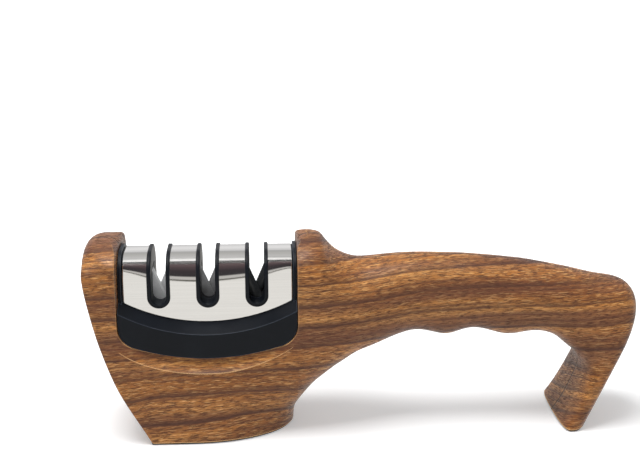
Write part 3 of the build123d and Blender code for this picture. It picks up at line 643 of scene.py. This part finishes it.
def heel_rows(inset):
    """Outlines that turn round the inside corner of the heel and run down the leg."""
    in_x, in_z, out_x, out_z, swell, belly = heel_shares.T
    inner = np.stack([in_x * LENGTH, in_z * HEIGHT], axis=-1)
    outer = np.stack([out_x * LENGTH, out_z * HEIGHT], axis=-1)
    ray = outer - inner
    span = np.hypot(*ray.T)[:, None]
    inner, outer = inner + ray / span * inset, outer - ray / span * inset
    half = (GRIP_WIDTH + (FOOT_WIDTH - GRIP_WIDTH) * swell) / 2 - inset
    span = span[:, 0] - 2 * inset
    full_in = 0.60 + 0.12 * swell
    crown = span * (1 - belly - 0.04)
    full_out = np.full(len(half), FULL_GRIP)
    return section_columns(inner, outer, half, half, span * belly, crown, full_in, full_out)


def outlines(rows, around):
    """Turns rows of station values into points[row, column, xyz].

    A point of an outline is (distance from the inner point along the ray, distance from the
    seam). Each quarter is a cubic Bezier curve and the side between them a straight line.
    """
    in_x, in_z, out_x, out_z, half_in, half_out, in_length, out_length, full_in, full_out = (
        rows[:, k : k + 1] for k in range(10)
    )
    span = np.hypot(out_x - in_x, out_z - in_z)
    t = np.linspace(0, 1, around)[None, :]
    b0, b1, b2, b3 = (1 - t) ** 3, 3 * t * (1 - t) ** 2, 3 * t**2 * (1 - t), t**3
    wide_in = half_in + (half_out - half_in) * in_length / span
    wide_out = half_in + (half_out - half_in) * (span - out_length) / span
    near = (b2 * (1 - full_in) + b3) * in_length
    near_wide = (b1 * full_in + b2 + b3) * wide_in
    far = b0 * (span - out_length) + b1 * (span - out_length + out_length * full_out) + (b2 + b3) * span
    far_wide = (b0 + b1 + b2 * full_out) * wide_out
    side = np.linspace(0, 1, around // 2)[None, 1:-1]
    middle = in_length + (span - out_length - in_length) * side
    middle_wide = wide_in + (wide_out - wide_in) * side
    along = np.concatenate([near, middle, far], axis=1)
    wide = np.concatenate([near_wide, middle_wide, far_wide], axis=1)
    along = np.concatenate([along, along[:, -2:0:-1]], axis=1)
    wide = np.concatenate([wide, -wide[:, -2:0:-1]], axis=1)
    x = in_x + (out_x - in_x) / span * along
    z = in_z + (out_z - in_z) / span * along
    return np.stack([x, wide, z], axis=-1)


def housing_form(inset, around, grip_count, heel_count):
    """Points of the whole housing surface, moved inwards by inset.

    A place along the path is the length of the middle line so far plus 0.35 of the outer
    line's, so the rows also follow the turn of the heel.
    """
    grip = grip_rows(inset)
    heel = heel_rows(inset)
    stations = np.concatenate([grip, heel])
    middle = (stations[:, :2] + stations[:, 2:4]) / 2
    middle_steps = np.hypot(*np.diff(middle, axis=0).T)
    outer_steps = np.hypot(*np.diff(stations[:, 2:4], axis=0).T)
    places = np.r_[0, np.cumsum(middle_steps + 0.35 * outer_steps)]
    turn = places[len(grip) - 1]
    at = np.r_[np.linspace(0, turn, grip_count)[:-1], np.linspace(turn, places[-1], heel_count)]
    ends = flowing(places, stations[:, :4], at)
    rest = steady(places, stations[:, 4:], at)
    rows = np.concatenate([base_rows(inset)[:-1], np.column_stack([ends, rest])])
    return outlines(rows, around)


points = housing_form(0.0, around=30, grip_count=320, heel_count=150)
low, high = points.min(axis=(0, 1)).round(2), points.max(axis=(0, 1)).round(2)
print("housing surface:", points.shape, "low", low, "high", high)

# %% [markdown]
# The pocket, the finger coves below it and the hollow feet are cut out of the smooth form.
# Each tool is a surface of its own: the pocket is an outline carried along the depth, and a
# cove is a round tube bent along the pocket's floor, with balls for ends.

# %% Cutting tools
POCKET_X = -0.281 * LENGTH
POCKET_HALF, POCKET_FLOOR, FLOOR_RADIUS, POCKET_CORNER, LIP = 34.0, 34.4, 86.0, 9.0, 4.2


def pocket_outline():
    """Pocket in the XZ plane: upright sides, round corners and a floor on a wide arc.

    Each side turns outwards along a quarter circle, the lip, that ends on its horn's top.
    """
    corner = POCKET_CORNER
    centre_z = POCKET_FLOOR + FLOOR_RADIUS
    reach = FLOOR_RADIUS - corner
    corner_x = POCKET_HALF - corner
    corner_z = centre_z - math.sqrt(reach**2 - corner_x**2)
    lean = math.degrees(math.asin(corner_x / reach))
    floor_arc = arc((0.0, centre_z), FLOOR_RADIUS, 270.0 - lean, 270.0 + lean, 72)
    right = arc((corner_x, corner_z), corner, 270.0 + lean, 360.0, 20)
    left = arc((-corner_x, corner_z), corner, 180.0, 270.0 - lean, 20)
    lips = []
    for mouth in (HORN_ROOF, 0.9930 * HEIGHT):
        quarter = arc((POCKET_HALF + LIP, mouth - LIP), LIP, 180.0, 90.0, 14)
        lips.append(np.concatenate([quarter, [(POCKET_HALF + LIP, ROOF)]]))
    outline = np.concatenate([(lips[0] * (-1, 1))[::-1], left, floor_arc[1:-1], right, lips[1]])
    return outline + (POCKET_X, 0.0)


COVE_RADIUS, COVE_DEPTH, COVE_WIDTH, COVE_LEAN = 9.0, 3.4, 5.2, 24.5
cove_face = width_at(POCKET_FLOOR)
cove_half = math.sqrt(COVE_RADIUS**2 - (COVE_RADIUS - COVE_DEPTH) ** 2)
cove_track = FLOOR_RADIUS + COVE_WIDTH - cove_half


def cove(side):
    """Bent tube with ball ends: a circle whose centre runs along the track arc.

    Past each end of the arc the circle shrinks as a ball's sections do. The tube is deepest
    at the middle and comes out toward its ends with the third power of the angle.
    """
    lean = np.radians(np.linspace(-COVE_LEAN, COVE_LEAN, 60))
    cap = np.linspace(0, np.pi / 2, 14)[1:]
    shrink = np.concatenate([np.cos(cap[::-1]), np.ones(len(lean)), np.cos(cap)])
    shrink = np.maximum(shrink, 1e-3)
    past = np.concatenate([-np.sin(cap[::-1]), np.zeros(len(lean)), np.sin(cap)]) * COVE_RADIUS
    angle = np.concatenate([np.full(len(cap), lean[0]), lean, np.full(len(cap), lean[-1])])[:, None]
    turn = np.linspace(0, 2 * np.pi, 48, endpoint=False)[None, :]
    reach = cove_track + COVE_RADIUS * shrink[:, None] * np.cos(turn)
    x = POCKET_X + reach * np.sin(angle) + past[:, None] * np.cos(angle)
    z = POCKET_FLOOR + FLOOR_RADIUS - reach * np.cos(angle) + past[:, None] * np.sin(angle)
    depth = COVE_DEPTH * (1 - 0.8 * np.abs(angle / lean[-1]) ** 3)
    y = side * (cove_face + COVE_RADIUS - depth) + COVE_RADIUS * shrink[:, None] * np.sin(turn)
    return closed_shell("cove", np.stack([x, y + 0 * x, z], axis=-1))


housing = add_object("housing", closed_shell("housing", points))
combine(housing, prism("pocket", pocket_outline()), "DIFFERENCE")
combine(housing, cove(-1.0), "DIFFERENCE")
combine(housing, cove(1.0), "DIFFERENCE")
print("housing with pocket and coves:", len(housing.data.polygons), "faces")

# %% [markdown]
# Both feet are hollow and closed by plates. The hollow is the housing's own form moved
# inwards by the wall, kept only near the foot, and then taken out of the body.

# %% Hollow feet
WALL, HOLLOW_TOP = 2.4, 14.0


def wide_box(top):
    """Outline of a box longer than the part, from below the table up to a height."""
    return np.array([(-130.0, -5.0), (130.0, -5.0), (130.0, top), (-130.0, top)])


inside = housing_form(WALL, around=16, grip_count=120, heel_count=60)
hollow = add_object("hollow", closed_shell("hollow", inside))
combine(hollow, prism("low", wide_box(HOLLOW_TOP)), "INTERSECT")
combine(housing, hollow.data, "DIFFERENCE")
bpy.data.objects.remove(hollow)
print("housing with hollow feet:", len(housing.data.polygons), "faces")

# %% [markdown]
# The housing is moulded as a front and a rear half that meet on the seam plane. Each half
# keeps its side of the plane and stops a few hundredths short of it, so the seam reads as
# the hairline that it is.

# %% Two halves
SEAM = 0.06
sides = (("front_wood_half", "front_housing", -1.0), ("rear_wood_half", "rear_housing", 1.0))
for name, node, side in sides:
    low, high = sorted((side * SEAM, side * 60.0))
    block = prism("side", wide_box(90.0), low, high)
    half = add_object(name, housing.data.copy())
    combine(half, block, "INTERSECT")
    smooth(half, 32.0)
    finish_with(half, wood)
    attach(half, "housing")
    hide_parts(node)
    print(name, len(half.data.polygons), "faces")
bpy.data.objects.remove(housing)

# %% [markdown]
# The cover is one sheet of polished steel bent over the cartridge. Its end view is an arch: an
# upright front, a round corner, a slightly crowned top, and the same again at the rear. The
# sheet turns in at both ends. Its lower edge is a wide arc, and three slots pass through it.

# %% Steel cover
SIDE, TOP, CORNER, SHEET = 13.0, 72.4, 9.5, 0.6
COVER_LEFT, COVER_RIGHT = -93.196, -28.196
SLOTS = POCKET_X + np.array([-18.6, 0.0, 18.6])
SLOT_HALF, SLOT_BOTTOM, SKIRT_BOTTOM, SKIRT_RADIUS = 3.7, 53.35, 47.05, 68.0


def arch(shrink, foot=40.0, sag=0.06):
    """Path in the YZ plane: up the front, round the corner, over the crowned top, down the rear.

    The crown is a parabola that drops by sag from the middle to the corners.
    """
    radius, flat = CORNER - shrink, SIDE - CORNER
    corner = arc((-flat, TOP - CORNER - sag), radius, 180.0, 90.0, 30)
    y = np.linspace(-flat, flat, 11)[1:-1]
    crown = np.stack([y, TOP - shrink - sag * (y / flat) ** 2], axis=-1)
    half = np.concatenate([[(-SIDE + shrink, foot)], corner])
    return np.concatenate([half, crown, half[::-1] * (-1, 1)])


def sheet_rows(left, right, turn_in=0.5, turn_length=0.9):
    """Closed sheet sections along X. At each end the outside turns in along a quarter ellipse."""
    turn = np.linspace(0, np.pi / 2, 6)
    end_x, end_in = turn_length * (1 - np.cos(turn)), turn_in * (1 - np.sin(turn))
    places = np.concatenate([left + end_x, right - end_x[::-1]])
    shrinks = np.concatenate([end_in, end_in[::-1]])
    inner = arch(SHEET)[::-1]
    rows = [np.concatenate([arch(shrink), inner]) for shrink in shrinks]
    flat = np.stack(rows)
    x = np.broadcast_to(places[:, None], flat.shape[:2])
    return np.stack([x, flat[..., 0], flat[..., 1]], axis=-1)


def slot_prism(x):
    """Slot tool: straight sides and a round bottom, open at the top."""
    bowl = arc((x, SLOT_BOTTOM + SLOT_HALF), SLOT_HALF, 180.0, 360.0, 33)
    return prism("slot", np.concatenate([bowl, [(x + SLOT_HALF, ROOF), (x - SLOT_HALF, ROOF)]]))


cover = add_object("cover_sheet", closed_shell("cover_sheet", sheet_rows(COVER_LEFT, COVER_RIGHT)))
skirt = arc((POCKET_X, SKIRT_BOTTOM + SKIRT_RADIUS), SKIRT_RADIUS, 238.0, 302.0, 70)
above = np.concatenate([skirt, [(skirt[-1, 0], ROOF), (skirt[0, 0], ROOF)]])
combine(cover, prism("above", above), "INTERSECT")
for x in SLOTS:
    combine(cover, slot_prism(x), "DIFFERENCE")
smooth(cover, 30.0)
finish_with(cover, steel)
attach(cover, "cartridge")
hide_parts("steel_cover")
print("cover:", len(cover.data.polygons), "faces")

# %% [markdown]
# Each slot is lined by a guide: one closed ring of plastic that runs up the front, over the
# top, down the rear and under the slot's round bottom on both sides. Its section is a thin
# wall that reaches into the slot, with a rounded lip that lies on the cover.

# %% Slot guides
RING, LOW = 3.625, 57.05


def guide_section():
    """Closed section as (across, out): the wall inside the slot and the rounded lip outside."""
    left = arc((-0.350, 0.175), 0.425, 180.0, 90.0, 7)
    right = arc((0.350, 0.175), 0.425, 90.0, 0.0, 7)
    return np.concatenate([[(-0.775, -6.0)], left, right, [(0.775, 0.05), (-0.025, 0.05), (-0.025, -6.0)]])


def guide_ring(x):
    """Sweep of the section along the ring: point = place + (ring + across) * side + out * away.

    On the straight runs the side is +X or -X. Under the slot it turns through half a circle.
    """
    over = arch(0.0, foot=LOW, sag=0.0)
    step = np.gradient(over, axis=0)
    out = np.stack([-step[:, 1], step[:, 0]], axis=-1) / np.hypot(*step.T)[:, None]
    out[0], out[-1] = (-1.0, 0.0), (1.0, 0.0)
    place = np.stack([np.full(len(over), x), over[:, 0], over[:, 1]], axis=-1)
    away = np.stack([np.zeros(len(over)), out[:, 0], out[:, 1]], axis=-1)
    under = np.radians(np.linspace(0.0, -180.0, 25))[1:-1]
    turns = (len(under), 1)
    bowl = np.stack([np.cos(under), np.zeros(len(under)), np.sin(under)], axis=-1)
    right = np.tile((1.0, 0.0, 0.0), (len(over), 1))
    side = np.concatenate([right, bowl, -right, bowl[::-1]])
    place = np.concatenate([place, np.tile(place[-1], turns), place[::-1], np.tile(place[0], turns)])
    away = np.concatenate([away, np.tile(away[-1], turns), away[::-1], np.tile(away[0], turns)])
    across, high = guide_section().T
    sideways = (RING + across)[None, :, None] * side[:, None]
    return place[:, None] + sideways + high[None, :, None] * away[:, None]


for stage, x in zip(("coarse", "medium", "fine"), SLOTS):
    name = f"{stage}_guide_ring"
    guide = add_object(name, closed_shell(name, guide_ring(x), loop_rows=True))
    smooth(guide, 50.0)
    finish_with(guide, black)
    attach(guide, "cartridge")
    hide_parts(f"{stage}_slot_guide")
    print(guide.name, len(guide.data.polygons), "faces")

# %% [markdown]
# The table is a wide pale plane. To the camera it also glows, faintly beside the part and
# fully farther out, so it burns out to white and keeps only the soft shadow. The polished cover
# mirrors a tent: rather more than half a tube round the object with bands of light and dark,
# which the camera and the shadows leave out. The bands give the cover its dark stripe, bright
# line and grey top. Away from the X of TENT_CALM those under DRAWN_BELOW draw together.

# %% Table and mirror tent
GLOW_NEAR, GLOW_FROM, GLOW_FULL = 0.30, 0.13, 0.42


def stage_material(name, glow):
    """Pale diffuse surface that adds some plain white for camera rays only."""
    material = bpy.data.materials.new(name)
    material.use_nodes = True
    tree = material.node_tree
    tree.nodes.clear()
    path = wire(tree, "ShaderNodeLightPath")
    paint = wire(tree, "ShaderNodeBsdfDiffuse", {"Color": (0.80, 0.80, 0.80, 1.0)})
    place = wire(tree, "ShaderNodeTexCoord").outputs["Object"]
    away = wire(tree, "ShaderNodeVectorMath", {0: place}, operation="LENGTH").outputs["Value"]
    glow_range = {0: away, 1: GLOW_FROM, 2: GLOW_FULL, 3: glow, 4: 1.0}
    burnt = wire(tree, "ShaderNodeMapRange", glow_range).outputs[0]
    seen = {0: path.outputs["Is Camera Ray"], 1: burnt}
    strength = wire(tree, "ShaderNodeMath", seen, operation="MULTIPLY").outputs[0]
    white = wire(tree, "ShaderNodeEmission", {"Color": (1.0, 1.0, 1.0, 1.0), "Strength": strength})
    both = wire(tree, "ShaderNodeAddShader", {0: paint.outputs[0], 1: white.outputs[0]})
    mirrored = wire(tree, "ShaderNodeEmission", {"Color": (0.89, 0.88, 0.85, 1.0), "Strength": 1.0})
    looks = {0: path.outputs["Is Glossy Ray"], 1: both.outputs[0], 2: mirrored.outputs[0]}
    shown = wire(tree, "ShaderNodeMixShader", looks)
    wire(tree, "ShaderNodeOutputMaterial", {"Surface": shown.outputs[0]})
    return material


def stage_piece(name, points, faces, material):
    """Mesh of the set round the object, not attached to any of its bodies."""
    mesh = bpy.data.meshes.new(name)
    mesh.from_pydata(points.tolist(), [], faces)
    piece = add_object(name, mesh)
    finish_with(piece, material)
    return piece


square = np.array([(-1.0, -1.0, 0.0), (1.0, -1.0, 0.0), (1.0, 1.0, 0.0), (-1.0, 1.0, 0.0)])
stage_piece("table", square * 3.0, [(0, 1, 2, 3)], stage_material("pale_table", GLOW_NEAR))

TENT_MIDDLE, TENT_RADIUS, TENT_LENGTH = (-0.012, 0.06), 0.24, 1.2
TENT_CALM, DRAWN_BELOW, BAND_LOW, BAND_HIGH, RIM_POINTS = -0.076, 80.0, -20.0, 200.0, 80
# Each band: degrees round the tent, from level in front over the top to level behind, colour.
tent_bands = (
    (-20, (0.87, 0.86, 0.83)), (-16, (0.80, 0.79, 0.76)), (-13, (0.12, 0.115, 0.10)),
    (-9, (0.12, 0.115, 0.10)), (-6, (0.55, 0.54, 0.52)), (5, (0.60, 0.58, 0.56)),
    (10, (0.045, 0.042, 0.045)), (35, (0.055, 0.045, 0.05)), (55, (0.11, 0.08, 0.085)),
    (66, (0.15, 0.11, 0.115)), (72, (0.06, 0.055, 0.055)), (84, (0.03, 0.03, 0.03)),
    (87, (1.0, 1.0, 1.0)), (95, (0.85, 0.85, 0.85)), (101, (0.50, 0.50, 0.50)),
    (108, (0.60, 0.60, 0.60)), (130, (0.52, 0.52, 0.51)), (152, (0.46, 0.46, 0.46)),
    (156, (0.62, 0.62, 0.63)), (161, (0.90, 0.90, 0.91)), (168, (0.60, 0.60, 0.61)),
    (190, (0.55, 0.55, 0.55)),
)
tent_material = bpy.data.materials.new("mirror_tent")
tent_material.use_nodes = True
tree = tent_material.node_tree
tree.nodes.clear()
split = wire(tree, "ShaderNodeSeparateXYZ", {0: wire(tree, "ShaderNodeTexCoord").outputs["Object"]})
front = maths("SUBTRACT", TENT_MIDDLE[0], split.outputs[1])
up = maths("SUBTRACT", split.outputs[2], TENT_MIDDLE[1])
degrees = maths("MULTIPLY", maths("ARCTAN2", up, front), 180.0 / math.pi)
aside = maths("MULTIPLY", maths("SUBTRACT", split.outputs[0], TENT_CALM), 20.0)
stretch = maths("MULTIPLY_ADD", maths("POWER", aside, 2.0), 0.74, 1.0)
extra = maths("SUBTRACT", maths("MINIMUM", stretch, 2.4), 1.0)
below = maths("MAXIMUM", maths("SUBTRACT", DRAWN_BELOW, degrees), 0.0)
bent = maths("SUBTRACT", degrees, maths("MULTIPLY", below, extra))
share = wire(tree, "ShaderNodeMapRange", {0: bent, 1: BAND_LOW, 2: BAND_HIGH}).outputs[0]
band_span = BAND_HIGH - BAND_LOW
stripes = ramp(tree, share, *[((angle - BAND_LOW) / band_span, colour) for angle, colour in tent_bands])
glow = wire(tree, "ShaderNodeEmission", {"Color": stripes})
wire(tree, "ShaderNodeOutputMaterial", {"Surface": glow.outputs[0]})
around = np.radians(np.linspace(-14.0, 194.0, RIM_POINTS))
rim_y = TENT_MIDDLE[0] - TENT_RADIUS * np.cos(around)
rim_z = TENT_MIDDLE[1] + TENT_RADIUS * np.sin(around)
rim = np.stack([0 * around, rim_y, rim_z], axis=-1)
tent_points = np.concatenate([rim - (TENT_LENGTH / 2, 0, 0), rim + (TENT_LENGTH / 2, 0, 0)])
tent_faces = [(i, i + 1, i + 1 + RIM_POINTS, i + RIM_POINTS) for i in range(RIM_POINTS - 1)]
tent = stage_piece("mirror_tent", tent_points, tent_faces, tent_material)
tent.visible_camera = tent.visible_diffuse = tent.visible_shadow = False
print("table and tent made")

# %% [markdown]
# The light is one large soft source above, a weak fill from each side and an even grey sky.
# The sky is white only where the camera sees it.

# %% Light and sky
KEY_WATTS, RIGHT_WATTS, LEFT_WATTS, SKY_STRENGTH = 15.0, 3.2, 1.8, 0.50


def area_light(name, place, target, size, power, colour=(1.0, 1.0, 1.0)):
    """Square soft light at a place, aimed at a target point."""
    data = bpy.data.lights.new(name, "AREA")
    data.shape, data.size, data.energy, data.color = "SQUARE", size, power, colour
    light = bpy.data.objects.new(name, data)
    way = np.array(target, float) - np.array(place, float)
    light.location = place
    tilt = math.acos(-way[2] / np.linalg.norm(way))
    light.rotation_euler = (tilt, 0.0, math.atan2(way[0], -way[1]))
    bpy.context.scene.collection.objects.link(light)
    return light


area_light("key", (-0.25, -0.12, 1.10), (0.0, 0.0, 0.03), 0.6, KEY_WATTS)
area_light("right_fill", (0.9, -0.8, 0.55), (0.0, 0.0, 0.04), 0.8, RIGHT_WATTS)
area_light("left_fill", (-1.0, -0.5, 0.35), (0.05, 0.0, 0.04), 0.6, LEFT_WATTS)

world = bpy.data.worlds.new("sky")
bpy.context.scene.world = world
world.use_nodes = True
tree = world.node_tree
tree.nodes.clear()
path = wire(tree, "ShaderNodeLightPath")
dim = wire(tree, "ShaderNodeBackground", {"Color": (0.96, 0.98, 1.0, 1.0), "Strength": SKY_STRENGTH})
bright = wire(tree, "ShaderNodeBackground", {"Color": (1.0, 1.0, 1.0, 1.0), "Strength": 1.0})
skies = {0: path.outputs["Is Camera Ray"], 1: dim.outputs[0], 2: bright.outputs[0]}
sky = wire(tree, "ShaderNodeMixShader", skies)
wire(tree, "ShaderNodeOutputWorld", {"Surface": sky.outputs[0]})
